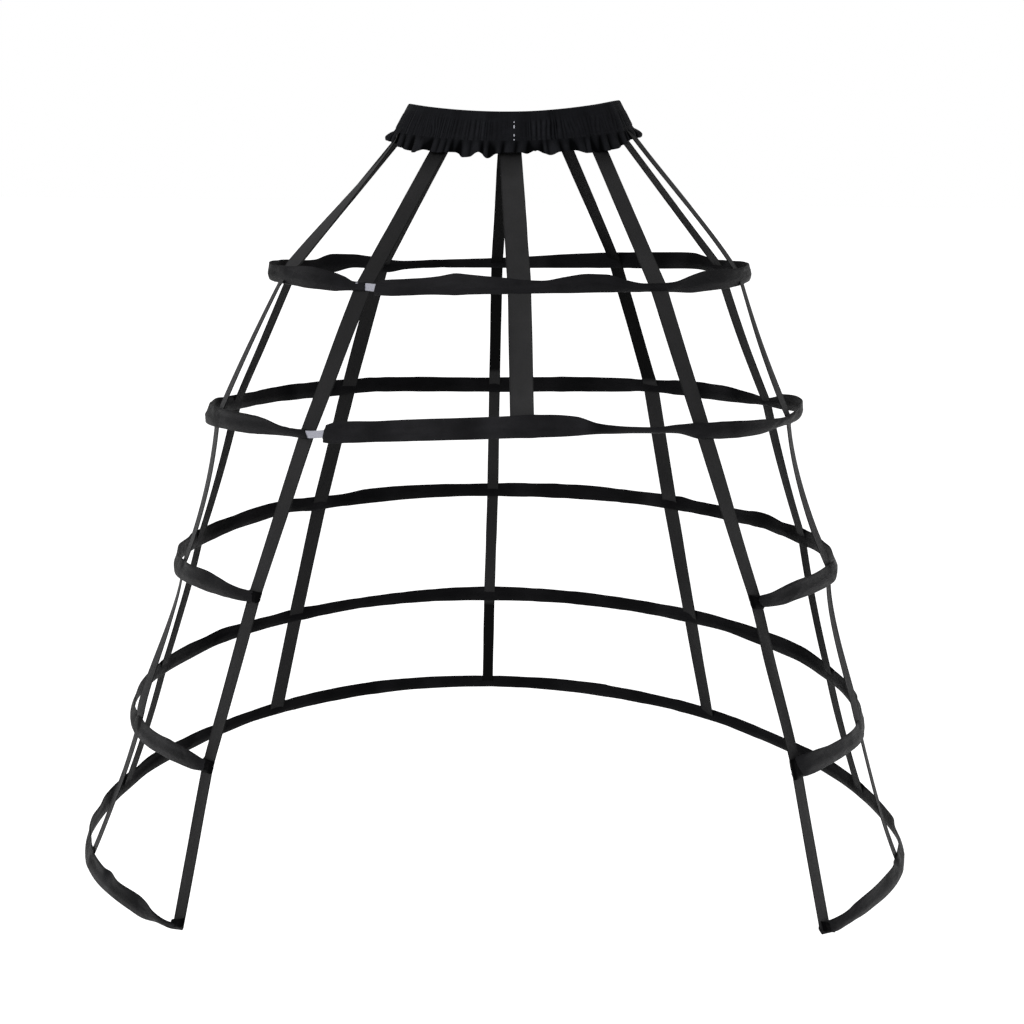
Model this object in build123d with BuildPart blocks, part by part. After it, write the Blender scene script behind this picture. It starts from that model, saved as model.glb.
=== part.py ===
"""Crinoline cage: a gathered waistband, ten tapes and five boned hoops, open at the front.

Millimetres, +Z up, front towards -Y. The origin is the centre of the waistband's top edge.
Angles run round the cage from the centre front, in degrees, towards +X.
"""
import os
from math import atan2, cos, degrees, radians, sin, tan
from typing import NamedTuple

from build123d import *

# Waistband: two layers of cloth over a wide elastic, with a ruffle heading below the seam
band_height = 26.0
band_half_width = 115.0
band_half_depth = 92.0
band_end_radius = 77.0
band_taper = 23.0
band_dip = 4.5
band_cloth = 0.8
elastic_thickness = 1.8
elastic_clearance = 0.3
threading_gap = 24.0
ruffle_length = 13.0
ruffle_cloth = 1.0

# Tapes: ribbon sewn into the waist seam and threaded through the casings
tape_width = 18.0
front_centre_tape_width = 20.0
back_centre_tape_width = 12.0
tape_thickness = 0.6
tape_clearance = 0.25
tape_end_clearance = 1.4
tape_twist_length = 16.0

# Hoop casings: flat fabric tubes
casing_height = 18.0
casing_cloth = 0.6
casing_room = 0.3

# Bones: flat plastic strips, joined in the two closed hoops by a sleeve
bone_height = 6.0
bone_thickness = 1.0
bone_inset = 3.0
bone_end_gap = 1.0
sleeve_wall = 0.4
sleeve_clearance = 0.1
sleeve_length = 34.0

# Distances that follow from the sizes above
sleeve_skin = sleeve_clearance + sleeve_wall
casing_thickness = 2 * (bone_thickness + sleeve_skin + casing_room + casing_cloth)
tape_offset = -(casing_thickness / 2 - casing_cloth - 0.1 - tape_clearance - tape_thickness / 2)
slot_depth = tape_thickness + 2 * tape_clearance
cavity_thickness = casing_thickness - 2 * casing_cloth
cavity_height = casing_height - 2 * casing_cloth
band_thickness = 2 * band_cloth + 2 * elastic_clearance + elastic_thickness
band_slope = tan(radians(band_taper))
band_front_radius = ((band_half_width - band_end_radius) ** 2 + band_half_depth ** 2
                     - band_end_radius ** 2) / (2 * (band_half_depth - band_end_radius))


class Hoop(NamedTuple):
    """A round hoop: arch lifts its front and back above its sides, tilt turns it about X."""
    radius: float
    drop: float
    tilt: float
    arch: float
    front: float
    side_front: float
    side_back: float
    back: float
    front_centre: float = 0.0
    casing_gap: float = 0.0

    @property
    def plane(self):
        return Plane((0, 0, -self.drop)).rotated((self.tilt, 0, 0))

    @property
    def front_plane(self):
        plan = self.plane
        return Plane(origin=plan.origin, x_dir=plan.x_dir, z_dir=-plan.y_dir)

    @property
    def is_closed(self):
        return self.casing_gap > 0

    def lift(self, x):
        return self.arch * (1 - 2 * (x / self.radius) ** 2)

    def degrees(self, length):
        return length / radians(self.radius)

    def station(self, angle, rise=0.0):
        """A plane on the tape line: x along the hoop, y inwards, z up."""
        turn = radians(angle)
        reach = self.radius + tape_offset
        x = reach * sin(turn)
        plan = self.plane
        spot = plan.from_local_coords(Vector(x, -reach * cos(turn), self.lift(x) + rise))
        along = plan.x_dir * cos(turn) + plan.y_dir * sin(turn)
        return Plane(origin=spot, x_dir=along, z_dir=plan.z_dir)


# The two upper hoops are closed, the three lower ones end at the front tapes
hoops = [
    Hoop(radius=233, drop=157, tilt=-1.1, arch=0, front=33.5, side_front=65,
         side_back=113, back=149, casing_gap=14.5),
    Hoop(radius=290, drop=290, tilt=-3.1, arch=0, front=36.5, side_front=66.5,
         side_back=109, back=145, front_centre=1.0, casing_gap=22),
    Hoop(radius=325, drop=432, tilt=-0.9, arch=2, front=43.5, side_front=71.5,
         side_back=105.5, back=142.5),
    Hoop(radius=365, drop=576, tilt=0.3, arch=9, front=46, side_front=72.5,
         side_back=105.5, back=141.5),
    Hoop(radius=409, drop=705, tilt=1.0, arch=14, front=44.5, side_front=74,
         side_back=105.5, back=141.5),
]
waist_angles = {"front": 31, "side_front": 68, "side_back": 121, "back": 158}
joint_shift = 4.5
hem = len(hoops) - 1
upper_hoops = 2


class Tape(NamedTuple):
    """A tape: its row of angles, the side it is on, its width and the last hoop it reaches."""
    row: str
    side: int
    width: float
    last: int

    def angle_at(self, hoop):
        if self.row == "back_centre":
            return 180
        return self.side * getattr(hoop, self.row)

    @property
    def waist_angle(self):
        if self.row == "front_centre":
            return 0
        if self.row == "back_centre":
            return 180
        return self.side * waist_angles[self.row]


tapes = {
    "tape_front_centre": Tape("front_centre", 1, front_centre_tape_width, upper_hoops - 1),
    "tape_back_centre": Tape("back_centre", 1, back_centre_tape_width, hem),
}
for side_name, side in (("left", -1), ("right", 1)):
    for row in ("front", "side_front", "side_back", "back"):
        tapes[f"tape_{row}_{side_name}"] = Tape(row, side, tape_width, hem)


def wedge(start, end, reach, mode):
    """A triangle from the centre between two angles less than half a turn apart."""
    far = reach / cos(radians((end - start) / 2))
    corners = [(0, 0)]
    for angle in (start, end):
        corners.append((far * sin(radians(angle)), -far * cos(radians(angle))))
    Polygon(*corners, align=None, mode=mode)


def arched_strip(plane, half_width, height, lift):
    """The front view of a hoop: a strip between two equal arcs."""
    with BuildSketch(plane) as strip:
        with BuildLine():
            for rise in (-height / 2, height / 2):
                middle = (0, lift(0) + rise)
                ends = [(x, lift(x) + rise) for x in (-half_width, half_width)]
                ThreePointArc(ends[0], middle, ends[1])
            for x in (-half_width, half_width):
                Line((x, lift(x) - height / 2), (x, lift(x) + height / 2))
        make_face()
    return strip.sketch


def curved_band(hoop, inner, outer, height, gap=None, window=None):
    """A round wall that follows a hoop, less a gap or kept inside a window of angles."""
    reach = hoop.radius + casing_thickness
    depth = height + 4 * abs(hoop.arch)
    front_view = arched_strip(hoop.front_plane, reach, height, hoop.lift) if hoop.arch else None
    with BuildPart() as band:
        with BuildSketch(hoop.plane):
            Circle(hoop.radius + outer)
            Circle(hoop.radius + inner, mode=Mode.SUBTRACT)
            if gap:
                wedge(*gap, 2 * reach, Mode.SUBTRACT)
            if window:
                wedge(*window, 2 * reach, Mode.INTERSECT)
        extrude(amount=depth / 2, both=True)
        if front_view:
            extrude(front_view, amount=reach, both=True, mode=Mode.INTERSECT)
    return band.part


def joint_angle(hoop):
    """Where a closed hoop's bone is joined: beside the left front tape."""
    return hoop.degrees(joint_shift) - hoop.front


def casing_opening(hoop, inset=0.0):
    """The angles between the two ends of a casing, or of what stops short of them."""
    if hoop.is_closed:
        middle = joint_angle(hoop)
        half = hoop.degrees(hoop.casing_gap / 2 + inset)
        return middle - half, middle + half
    past_tape = tape_width / 2 + tape_clearance + 2 * casing_cloth
    half = hoop.front - hoop.degrees(past_tape - inset)
    return -half, half


def build_casing(number, hoop):
    opening = casing_opening(hoop)
    end_wall = 0 if hoop.is_closed else casing_cloth
    tube = curved_band(hoop, -casing_thickness / 2, casing_thickness / 2, casing_height, opening)
    cavity = curved_band(hoop, -cavity_thickness / 2, cavity_thickness / 2, cavity_height,
                         casing_opening(hoop, end_wall))
    with BuildPart() as casing:
        add(tube)
        add(cavity, mode=Mode.SUBTRACT)
        for tape in tapes.values():
            if tape.last < number:
                continue
            stops_here = tape.last == number
            length = casing_height if stops_here else 2 * casing_height
            with Locations(hoop.station(tape.angle_at(hoop), casing_height / 2 if stops_here else 0)):
                Box(tape.width + 2 * tape_clearance, slot_depth, length, mode=Mode.SUBTRACT)
    casing.part.label = f"hoop_casing_{number + 1}"
    return casing.part


def build_bone(number, hoop):
    if hoop.is_closed:
        half = hoop.degrees(bone_end_gap / 2)
        ends = joint_angle(hoop) - half, joint_angle(hoop) + half
    else:
        ends = casing_opening(hoop, bone_inset)
    bone = curved_band(hoop, 0, bone_thickness, bone_height, ends)
    bone.label = f"hoop_bone_{number + 1}"
    return bone


def build_sleeve(number, hoop):
    half = hoop.degrees(sleeve_length / 2)
    reach = joint_angle(hoop) - half, joint_angle(hoop) + half
    body = curved_band(hoop, -sleeve_skin, bone_thickness + sleeve_skin,
                       bone_height + 2 * sleeve_skin, window=reach)
    bore = curved_band(hoop, -sleeve_clearance, bone_thickness + sleeve_clearance,
                       bone_height + 2 * sleeve_clearance, window=reach)
    with BuildPart() as sleeve:
        add(body)
        add(bore, mode=Mode.SUBTRACT)
    sleeve.part.label = f"bone_connector_{number + 1}"
    return sleeve.part


def waist_lift(x):
    return -band_dip * (1 - 2 * (x / band_half_width) ** 2)


def oval_arcs(inset):
    """The four arcs of the seam's outline: centre, radius and the angle half way along."""
    end = band_half_width - band_end_radius
    front = band_front_radius - band_half_depth
    return [((0, front), band_front_radius - inset, 0), ((end, 0), band_end_radius - inset, 90),
            ((0, -front), band_front_radius - inset, 180), ((-end, 0), band_end_radius - inset, 270)]


def end_arc_half_angle():
    return degrees(atan2(band_front_radius - band_half_depth, band_half_width - band_end_radius))


def oval(plane, inset):
    """The waist's outline, drawn in by an inset: four arcs, tangent where they meet."""
    with BuildSketch(plane) as face:
        with BuildLine():
            for centre, radius, middle in oval_arcs(inset):
                half = end_arc_half_angle() if middle in (90, 270) else 90 - end_arc_half_angle()
                CenterArc(centre, radius, middle - 90 - half, 2 * half)
        make_face()
    return face.sketch


def waist_cone(inset):
    """A tapered oval block past both edges of the band and ruffle, drawn in from its face."""
    low = -band_height - ruffle_length - 2 * band_dip
    high = 2 * band_dip
    widening = band_slope * (-band_height - low)
    foot = oval(Plane.XY.offset(low), inset - widening)
    with BuildPart() as cone:
        extrude(foot, amount=high - low, taper=band_taper)
    return cone.part


def waist_slab(bottom, top):
    """The front view of the band between two heights, dipping at the centre front."""
    reach = band_half_width + 2 * ruffle_length
    middle = (bottom + top) / 2
    front_view = arched_strip(Plane.XZ, reach, top - bottom, lambda x: waist_lift(x) + middle)
    with BuildPart() as slab:
        extrude(front_view, amount=reach, both=True)
    return slab.part


def waist_ring(bottom, top, outer_inset, inner_inset):
    """A ring of the waistband between two heights and two insets."""
    outside = waist_cone(outer_inset)
    inside = waist_cone(inner_inset)
    slab = waist_slab(bottom, top)
    with BuildPart() as ring:
        add(outside)
        add(inside, mode=Mode.SUBTRACT)
        add(slab, mode=Mode.INTERSECT)
    return ring.part


def build_waistband():
    outer = waist_ring(-band_height, 0, 0, band_thickness)
    cavity = waist_ring(band_cloth - band_height, -band_cloth, band_cloth,
                        band_thickness - band_cloth)
    ruffle = waist_ring(-band_height - ruffle_length, -band_height, 0, ruffle_cloth)
    back_of_band = band_half_depth - band_slope * band_height / 2 - band_thickness
    with BuildPart() as waistband:
        add(outer)
        add(cavity, mode=Mode.SUBTRACT)
        add(ruffle)
        with Locations((0, back_of_band, -band_height / 2 - band_dip)):
            Box(threading_gap, band_thickness, band_cloth, mode=Mode.SUBTRACT)
    waistband.part.label = "waistband"
    return waistband.part


def build_elastic():
    inset = band_cloth + elastic_clearance
    elastic = waist_ring(inset - band_height, -inset, inset, inset + elastic_thickness)
    elastic.label = "waist_elastic"
    return elastic


def waist_station(tape, level):
    """A level plane behind the ruffle: x along the seam, y inwards."""
    angle = tape.waist_angle % 360
    quarter = end_arc_half_angle()
    for centre, radius, middle in oval_arcs(band_thickness / 2 + tape_thickness):
        half = quarter if middle in (90, 270) else 90 - quarter
        if abs((angle - middle + 180) % 360 - 180) <= half:
            break
    turn = radians(angle)
    lift = waist_lift(centre[0] + radius * sin(turn))
    radius -= band_slope * max(lift, 0)
    spot = (centre[0] + radius * sin(turn), centre[1] - radius * cos(turn), lift + level)
    return Plane(origin=spot, x_dir=(cos(turn), sin(turn), 0), z_dir=(0, 0, 1))


def twist_between(above, below):
    """Evenly spaced planes down the free length between two planes, ending with the lower."""
    span = below.origin - above.origin
    steps = max(1, round(span.length / tape_twist_length))
    for step in range(1, steps + 1):
        share = step / steps
        yield Plane(origin=above.origin + span * share,
                    x_dir=above.x_dir * (1 - share) + below.x_dir * share,
                    z_dir=above.z_dir * (1 - share) + below.z_dir * share)


def tape_stations(tape):
    """Planes down the tape: behind the ruffle, twisting evenly to and between the casings."""
    seam_lap = 3.0
    edge = casing_height / 2 + 0.5
    stations = [waist_station(tape, -band_height + seam_lap),
                waist_station(tape, -band_height - ruffle_length)]
    for number in range(tape.last + 1):
        hoop = hoops[number]
        angle = tape.angle_at(hoop)
        lower = -edge
        if number == tape.last:
            lower = tape_end_clearance - cavity_height / 2
        stations += twist_between(stations[-1], hoop.station(angle, edge))
        stations.append(hoop.station(angle, lower))
    return stations


def build_tape(name, tape, seam):
    with BuildPart() as strip:
        for station in tape_stations(tape):
            with BuildSketch(station):
                Rectangle(tape.width, tape_thickness)
        loft(ruled=True)
        add(seam, mode=Mode.SUBTRACT)
    strip.part.label = name
    return strip.part


def save(part):
    export_step(part, f"parts/{part.label}.step")


os.makedirs("parts", exist_ok=True)
save(build_waistband())
save(build_elastic())
waist_seam = waist_slab(-band_height, 0)
for name, tape in tapes.items():
    save(build_tape(name, tape, waist_seam))
for number, hoop in enumerate(hoops):
    save(build_casing(number, hoop))
    save(build_bone(number, hoop))
    if hoop.is_closed:
        save(build_sleeve(number, hoop))
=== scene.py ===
"""Crinoline cage: gathered waistband, ribbon tapes, boned hoops and their joints, in cloth and plastic.

Lengths are in millimetres until a mesh is made. The origin is the centre of the waistband's top
edge, +Z is up and the open front faces -Y. Angles run round from the centre front towards +X.
"""
from math import cos, log, pi, radians, sin, tan
from typing import NamedTuple

import bpy
import numpy as np
from mathutils import Matrix, Vector


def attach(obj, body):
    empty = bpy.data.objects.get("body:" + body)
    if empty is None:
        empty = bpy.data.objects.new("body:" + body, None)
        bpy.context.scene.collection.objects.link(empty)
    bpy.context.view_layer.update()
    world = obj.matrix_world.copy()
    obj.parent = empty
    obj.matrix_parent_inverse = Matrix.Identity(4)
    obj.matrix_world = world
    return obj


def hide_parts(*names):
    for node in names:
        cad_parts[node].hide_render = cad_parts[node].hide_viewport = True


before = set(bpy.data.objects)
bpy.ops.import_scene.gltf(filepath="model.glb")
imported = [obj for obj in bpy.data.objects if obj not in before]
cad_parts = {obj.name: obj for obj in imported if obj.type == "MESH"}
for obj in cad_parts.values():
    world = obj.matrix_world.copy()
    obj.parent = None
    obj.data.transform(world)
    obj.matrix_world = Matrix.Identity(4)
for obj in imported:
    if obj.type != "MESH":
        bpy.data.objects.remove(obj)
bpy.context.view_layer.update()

MM = 0.001
whole_turn = 2 * pi
rng = np.random.default_rng(11)

# How far the cage hangs to one side, at the waist and per millimetre below it, and how its waist tilts
waist_shift = 5.0
side_lean = 0.0135
waist_tilt = 0.026

# Waistband, its elastic and its ruffle
band_height = 26.0
band_half_width = 115.0
band_half_depth = 92.0
band_end_radius = 77.0
band_slope = tan(radians(28))
band_dip = 4.5
band_thickness = 4.0
band_front_radius = ((band_half_width - band_end_radius) ** 2 + band_half_depth ** 2
                     - band_end_radius ** 2) / (2 * (band_half_depth - band_end_radius))
gather_pitch = 3.4
stitch_rows = (8.5, 24.0)
elastic_inset = 1.3
elastic_thickness = 1.4
ruffle_length = 15.5
ruffle_side_length = 9.0
ruffle_pitch = 9.5
ruffle_cloth = 0.9
ruffle_tone = 0.75

# Tapes
tape_width = 18.0
front_centre_tape_width = 20.0
back_centre_tape_width = 12.0
tape_thickness = 0.5
tape_selvedge = 0.3
tape_offset = -1.15
tape_top = 2.0
tape_inset = 3.4
tape_turn = -12.0
tape_turn_inset = 2.2
side_tape_rise = 8.0
side_tape_outset = 3.7

# Casings, bones and sleeves
casing_flat_height = 16.5
casing_full_width = 18.6
casing_selvedge = 1.9
casing_least_width = 6.8
casing_thickness = 4.0
casing_cloth = 0.6
casing_ring_spacing = 2.6
crease_angles = np.array([80, 96, 264, 280])
bone_height = 6.0
bone_thickness = 1.0
bone_corner = 0.3
bone_room = 3.9
sleeve_skin = 0.35
sleeve_length = 34.0
sleeve_corner = 0.8


class Hoop(NamedTuple):
    """A hoop: bulge is (angle, outwards), edges is (angle, low edge, high edge) of its casing, rolls
    is (angle, degrees that its top leans inwards, how far that is held, 0 to 1), joint is where its
    bone's sleeve is and cuts is the slant of the casing's two ends."""
    radius: float
    drop: float
    tilt: float
    arch: float
    bulge: list
    edges: list
    start: float
    end: float
    rolls: list
    joint: float = None
    cuts: tuple = (0, 0)


# The casings' edges are read off the photograph, from the line of the hoop
hoops = [
    Hoop(233, 157, -1.1, 0,
         [(-120, 2), (-88, -1), (-62, 0), (-35, 2), (0, 2), (40, 2), (80, -1.5), (120, 1), (180, 2)],
         [(5, -5.5, 4.5), (10, -5, 7.5), (15, -4.5, 10), (19, -4.5, 9.5), (23.5, -5, 5), (28, -5.5, 2),
          (35, -6, 2), (41, -7, 6.5), (48, -6, 10), (62, -5, 10), (75, -3.5, 10.5), (99, -3, 9.5),
          (115, -2.5, 8), (124, -2, 13), (136, -4, 11.5), (151, -6, 9), (164, -7.5, 5.5), (181, -9, 1),
          (-164, -9, -1), (-153, -10.5, -2), (-148, -13, -0.5), (-143, -9, 3), (-137, -7, 6),
          (-130, -10.5, 6.5), (-122, -11, 2), (-110, -9, 4), (-90, -8, 6), (-67, -7.5, 7), (-52, -8.5, 9),
          (-43.5, -9, 5.5), (-40.5, -8.5, 3), (-38, -8, -0.5), (-34, -8, -1), (-31.8, -10.3, 0.8),
          (-28, -10.3, 2), (-24, -9.6, 3.5), (-17, -8, 6.5), (-13, -7.5, 9), (-6.5, -6.5, 7.5)],
         -31.6, 325.8, [(0, 0, 0)], -32.6, (-0.3, 0)),
    Hoop(290, 290, -3.1, 0,
         [(-120, 1), (-88, 1), (-60, 1), (-35, 1), (35, 1), (85, -2.5), (120, 0), (180, 1)],
         [(-63, -11, 5), (-55, -11, 5.5), (-49, -9.5, 3.5), (-43.5, -9.5, -1.5), (-38.5, -9.5, -3),
          (-33.5, -11.5, 4), (-31.5, -11, 6.5), (-26, -8.5, 8), (-16, -5, 12), (-5, -2, 15), (5, 0, 17.5),
          (10, 1, 16), (14, 1.5, 10.5), (20, 1.5, 7), (24, 1, 6), (29, 0, 7.5), (34.5, -5.5, 7.5),
          (44.5, -7, 6.5), (52, -6, 5.5), (58.5, -3.5, 5), (70, -2.5, 9), (80, -1.5, 12), (90, -2, 12),
          (103, -4.5, 9), (110, -4.5, 3), (119, -5.5, 6.5), (126, -5.5, 10), (136, -3.5, 11),
          (146, -2, 10), (157, -4.5, 10), (183, -7.5, 7), (-151, -6, 8.5), (-145, -7.5, 7),
          (-137, -9.5, 6.5), (-127, -10, 4.5), (-113, -12.5, 1), (-105, -13.5, 1), (-85, -13, 3)],
         -34.4, 321.8,
         [(-104, 0, 0), (-92, 8, 1), (-78, 14, 1), (-70, 10, 1), (-60, 0, 0)], -35.6, (-0.24, 0.5)),
    Hoop(325, 432, -0.9, 2,
         [(-110, -2), (-88, -3.5), (-65, -2), (-46, 0), (-41, -5), (41, -5), (46, 0), (80, 3.5), (110, 2),
          (150, 0), (210, 0)],
         [(43, -7, 4), (49, -8, 7.5), (54, -7.5, 10.5), (60, -7.5, 10.5), (66, -8, 10), (76, -9.5, 7),
          (90, -8, 4), (100, -7.5, 6), (105, -9, 6.5), (113, -8, 6), (119, -6, 9.5), (127, -6.5, 7),
          (136, -5.5, 7), (141, -5, 9.5), (150, -4, 9.5), (161, -4, 11), (176, -4, 10), (186, -4, 9),
          (-160, -5.5, 9), (-153, -6.8, 8), (-148, -7, 5), (-141, -8, 5.5), (-135, -6, 7),
          (-125, -10, 5.5), (-116, -11.5, 1.5), (-106, -12.5, 0), (-90, -13, 2), (-78, -12, 6),
          (-67, -9, 9.5), (-60, -7.5, 10.5), (-54, -6.5, 8), (-51, -6, 6),
          (-47, -5.5, 4), (-43, -4.5, 4)],
         43.2, 316.4,
         [(-120, 4, 0), (-112, 4, 1), (-98, 4, 1), (-88, 8, 1), (-76, 14, 1), (-64, 8, 1), (-55, 0, 0),
          (48, 0, 0), (53, 3, 1), (60, 6, 1), (70, 12, 1), (80, 10, 1), (90, 8, 1), (104, 6, 1),
          (114, 4, 0)]),
    Hoop(365, 576, 0.3, 9,
         [(-110, 0), (-80, -0.5), (-49, 0), (-44, -5), (44, -5), (49, 0), (80, -2), (120, 0), (180, 0)],
         [(44, -9.5, 8), (50, -9.5, 10.5), (55, -9.5, 11), (60.5, -9, 10.5), (70, -11, 7.5), (80, -13, 4.5),
          (93, -12, 3), (100, -9.5, 4), (107.5, -9, 6), (115, -7.5, 9.5), (125, -7.5, 9.5), (135, -5, 9),
          (144, -6.5, 8), (152, -6.5, 7), (180, -7, 8), (-155, -6, 5), (-147, -7, 5), (-140, -7, 6),
          (-131, -7, 6.5), (-124, -6.5, 8.5), (-118, -8, 6.5), (-104, -7.5, 6.5), (-95, -7, 5),
          (-84, -10, 6), (-72, -8.5, 9), (-64, -8.5, 9.5), (-58, -8, 10.5), (-53, -8, 9), (-50, -7.5, 6),
          (-47, -6.5, 3), (-43.5, -6, 3)],
         45.4, 313.8,
         [(-120, 4, 0), (-110, 8, 1), (-98, 13, 1), (-84, 13, 1), (-76, 14, 1), (-66, 10, 1), (-60, 4, 1),
          (-56, 0, 0), (50, 0, 0), (55, 4, 1), (62, 8, 1), (72, 18, 1), (80, 12, 1), (90, 3, 1),
          (100, 6, 1), (108, 4, 1), (112, 0, 0)]),
    Hoop(409, 705, 1.0, 14,
         [(-110, 0), (-85, 0), (-47, 0), (-43, -4), (43, -4), (47, 0), (85, 0), (120, 0), (180, 0)],
         [(43, -10, -0.5), (47, -10, 0.5), (52, -7.5, 5), (59, -6.5, 10), (70, -7, 10), (80, -9, 8),
          (91, -11, 6), (97, -11.5, 5), (105, -11.5, 6), (113, -11, 6.5), (123, -9.5, 4.5), (131, -9, 4),
          (139, -7, 4.5), (147, -7.5, 5.5), (154, -8, 5.5), (180, -6.5, 5.5), (-157, -6, 8),
          (-147, -6, 8), (-139, -5, 7), (-131, -6.5, 6.5), (-123, -8, 7), (-113, -7.5, 9.5),
          (-107, -9.5, 7.5), (-98, -9.5, 7.5), (-88, -9.5, 7), (-80, -9, 8), (-70, -6, 11.5),
          (-63, -5.5, 11.5), (-56, -5.8, 9.4), (-51, -7.5, 4.5), (-47, -8, -1), (-43, -8, -2)],
         43.8, 316.0,
         [(-118, 0, 0), (-112, 0, 1), (-97, -4, 1), (-90, 4, 1), (-80, 20, 1), (-70, 20, 1), (-60, 11, 1),
          (-54, 6, 1), (-49, 0, 0), (50, 0, 0), (56, 4, 1), (64, 12, 1), (72, 20, 1), (80, 20, 1),
          (88, 12, 1), (98, 4, 1), (110, 5, 1), (118, 0, 0)]),
]


class Tape(NamedTuple):
    """A tape: its angle at the waist and at each hoop, then lists with an item per span: bows of
    (outwards, peak share), turns at its two ends, and tones of its outer and inner face, which are
    painted light and shade."""
    waist: float
    angles: list
    bows: list
    turns: list
    outer_light_shade_tone: list
    inner_shade_tone: list
    width: float = tape_width


straight = [[]] * 5
unturned = [(0, 0)] * 5
# The tapes' tones per span are painted light and shade, with the inner faces painted darker.
outer_tones = [1.0] * 5
inner_shade_tones = [0.3, 0.35, 0.5, 0.5, 0.5]
tapes = {
    "tape_front_centre": Tape(
        -2.5, [0.3, 1.0], straight, unturned, [0.95, 1.0], [0.5, 0.5], front_centre_tape_width),
    "tape_back_centre": Tape(
        183, [181.7, 181, 180.5, 180.4, 180.1], straight, unturned, outer_tones,
        [0.16, 0.15, 0.68, 0.66, 0.15], back_centre_tape_width),
    "tape_front_left": Tape(
        -33.5, [-35.2, -38.5, -44.4, -47, -45], straight,
        [(0, 0), (0, 4), (6, 8), (7, 9), (8, 11)], [0.68, 0.68, 0.8, 0.72, 0.68], inner_shade_tones),
    "tape_front_right": Tape(
        36, [32.3, 34.7, 43.1, 46.2, 45], straight,
        [(0, 0), (0, 4), (6, 9), (9, 10), (8, 8)], [0.85, 0.9, 0.9, 0.75, 1.1], inner_shade_tones),
    "tape_side_front_left": Tape(
        -72, [-66, -70, -72.4, -72.3, -75],
        [[(-5, 0.3), (2, 0.6)], [(1.5, 0.5)], [(-5.5, 0.5)], [(-3.5, 0.35), (4.5, 0.75)], [(-3, 0.5)]],
        [(10, -18), (11, 2), (3, 2), (8, -10), (2, 2)], [1.15, 1, 0.9, 0.85, 0.9], inner_shade_tones),
    "tape_side_front_right": Tape(
        67, [65.8, 64.3, 71.9, 73.1, 72.4],
        [[(3, 0.7)], [(-2, 0.5)], [(-7, 0.45)], [(-7, 0.3), (2, 0.78)], [(-3, 0.6)]],
        [(3, 4), (8, 0), (8, -8), (-3, -10), (2, 2)], [0.9] * 5, inner_shade_tones),
    "tape_side_back_left": Tape(
        -115, [-113, -109.5, -105, -105.5, -106],
        [[], [], [(-2, 0.5)], [(-2, 0.5)], [(-2, 0.5)]], unturned, outer_tones,
        [0.32, 0.32, 0.3, 0.26, 0.26]),
    "tape_side_back_right": Tape(
        121.5, [112.3, 109.3, 105.2, 104.1, 104.4],
        [[], [(-2, 0.5)], [(-2, 0.5)], [(-2, 0.5)], [(-2, 0.5)]],
        [(-10, 0), (0, 0), (0, 0), (0, 0), (0, 0)], outer_tones, [0.36, 0.42, 0.4, 0.2, 0.3]),
    "tape_back_left": Tape(
        -148, [-146, -145, -142.4, -141.7, -142.2], straight, unturned, outer_tones,
        [0.5, 0.5, 0.52, 0.5, 0.55]),
    "tape_back_right": Tape(
        155, [149.5, 145, 143, 141.4, 141], straight,
        [(-20, -20), (-15, -6), (0, 0), (-4, -8), (-9, -13)], outer_tones, [0.16, 0.16, 0.68, 0.57, 0.52]),
}

# The ruffle's hem at the front: distance right of the centre and drop below the seam
hem_front = [(-116, 8), (-106, 12), (-97, 15), (-90, 16), (-83, 12.5), (-71, 14), (-64, 13),
             (-55, 12.5), (-48, 16.5), (-41, 15.5), (-34, 11), (-26, 16.5), (-19, 12.5), (-8, 11), (3, 11),
             (9, 12.5), (17, 9.5), (24, 12.5), (30, 14.5), (38, 12), (53, 12), (64, 15.5), (73, 15.5),
             (82, 15.5), (89, 15), (97, 12.5), (106, 9), (116, 8)]

# The pale stitches at the front: where each starts and ends below the top edge
centre_stitches = [(9.2, 10.4), (12.3, 15.6), (20.5, 22.8), (25.0, 26.2)]
centre_stitch_x = 2.4

# The folded ends of the open hoops' casings: hoop counted from 0, side, low and high edge from its
# line, slant and how far round towards the casing it sits
wraps = [
    (2, "left", -5, 4.5, 0.05, 0),
    (2, "right", -8, 4, -0.2, 0),
    (3, "left", -7, 4, 0.05, 0),
    (3, "right", -10, 8, 0, 0),
    (4, "left", -5, 2, 0.35, 1),
    (4, "right", -9.5, -1, -0.35, 4.5),
]


# Curves through keyframes

def eased(keys, at, period=None):
    """Columns of values at the given places, on smooth curves through keyframes without overshoot."""
    keys = np.array(keys, float)
    if period:
        keys[:, 0] %= period
        wrap = np.zeros_like(keys)
        wrap[:, 0] = period
        keys = np.vstack([keys - wrap, keys, keys + wrap])
        at = at % period
    keys = keys[np.argsort(keys[:, 0])]
    x, y = keys[:, 0], keys[:, 1:]
    run = np.diff(x)[:, None]
    slope = np.diff(y, axis=0) / run
    agree = slope[:-1] * slope[1:] > 0
    weight_a = 2 * run[1:] + run[:-1]
    weight_b = run[1:] + 2 * run[:-1]
    mean = (weight_a + weight_b) / (weight_a / np.where(agree, slope[:-1], 1)
                                    + weight_b / np.where(agree, slope[1:], 1))
    tangent = np.vstack([slope[:1], np.where(agree, mean, 0), slope[-1:]])
    at = np.clip(at, x[0], x[-1])
    k = np.clip(np.searchsorted(x, at) - 1, 0, len(x) - 2)
    h = run[k]
    t = (at - x[k])[:, None] / h
    return (y[k] * (2 * t**3 - 3 * t**2 + 1) + tangent[k] * h * (t**3 - 2 * t**2 + t)
            + y[k + 1] * (3 * t**2 - 2 * t**3) + tangent[k + 1] * h * (t**3 - t**2))


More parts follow.
